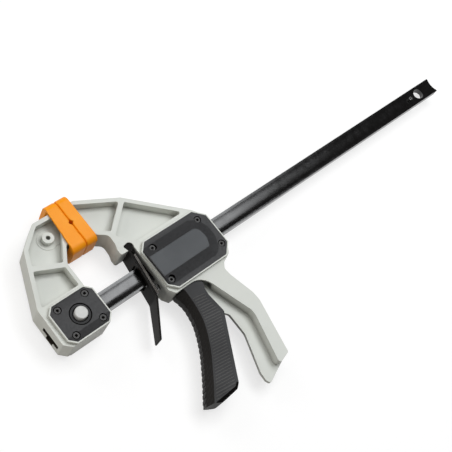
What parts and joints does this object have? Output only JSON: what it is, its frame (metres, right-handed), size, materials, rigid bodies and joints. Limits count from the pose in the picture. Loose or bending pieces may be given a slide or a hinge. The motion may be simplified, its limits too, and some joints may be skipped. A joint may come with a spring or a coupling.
{
  "type": "quick release bar clamp",
  "caption": "One-handed bar clamp: a pistol-grip trigger steps the moving jaw along a grooved bar, a lever frees it, and a button frees the fixed jaw.",
  "frame": {"origin": "on the bar's centre line and at half its thickness, in the plane where the two closed pads meet", "axes": "+X along the bar to its free end, +Y across the bar to the jaw tips, +Z out of the covers; it lies on the backs of the two jaws"},
  "size_m": [0.5103, 0.2273, 0.0326],
  "materials": {
    "shell": "moulded glass-filled nylon, light warm grey, fine texture",
    "cover": "moulded cover, charcoal, fine texture",
    "badge": "bare badge plate, dark grey",
    "pad": "soft moulded elastomer, orange",
    "trigger": "moulded grip, near black, finely ribbed sides",
    "blued_bar": "rolled bar, blackened, satin",
    "plate": "hardened plate, dark oxide with worn edges",
    "lever": "pressed lever, black",
    "button": "turned button, satin nickel",
    "screw": "socket head screw, black oxide",
    "spring": "drawn wire and ground pins, bright"
  },
  "bodies": {
    "bar_frame": {"bar": "blued_bar", "bar_stop_pin": "blued_bar", "fixed_jaw": "shell", "fixed_jaw_pad": "pad", "fixed_jaw_cover": "cover", "fixed_jaw_screws": "screw", "lock_bush": "cover", "lock_spring": "spring"},
    "sliding_jaw": {"moving_jaw": "shell", "moving_jaw_pad": "pad", "housing_cover": "cover", "housing_screws": "screw", "badge_plate": "badge", "trigger_pin": "spring", "drive_spring": "spring", "brake_spring": "spring"},
    "trigger": {"trigger": "trigger"},
    "drive_plates": {"drive_plate_front": "plate", "drive_plate_middle": "plate", "drive_plate_rear": "plate"},
    "release_lever": {"release_lever": "lever", "brake_plate": "plate"},
    "lock_button": {"lock_button": "button"}
  },
  "joints": [
    {"name": "jaw_slide", "type": "slide", "parent": "bar_frame", "child": "sliding_jaw", "axis": [1, 0, 0], "range_m": [0, 0.293]},
    {"name": "trigger_pivot", "type": "hinge", "parent": "sliding_jaw", "child": "trigger", "pos_m": [0.0505, -0.0136, 0], "axis": [0, 0, 1], "range_deg": [0, 15], "stiffness_Nm_per_rad": 1.5, "springref_deg": -8.59},
    {"name": "drive_step", "type": "slide", "parent": "sliding_jaw", "child": "drive_plates", "axis": [1, 0, 0], "range_m": [0, 0.0023], "deforming": ["drive_spring"]},
    {"name": "lever_pivot", "type": "hinge", "parent": "sliding_jaw", "child": "release_lever", "pos_m": [0.0292, 0.0255, 0], "axis": [0, 0, 1], "range_deg": [0, 8], "stiffness_Nm_per_rad": 1, "springref_deg": -11.46, "deforming": ["brake_spring"]},
    {"name": "button_press", "type": "slide", "parent": "bar_frame", "child": "lock_button", "axis": [0, 0, -1], "range_m": [0, 0.005], "stiffness_N_per_m": 800, "springref_m": -0.003, "deforming": ["lock_spring"]}
  ],
  "couplings": [
    {"joint": "drive_step", "follows": "trigger_pivot", "m_per_rad": 0.0084}
  ]
}
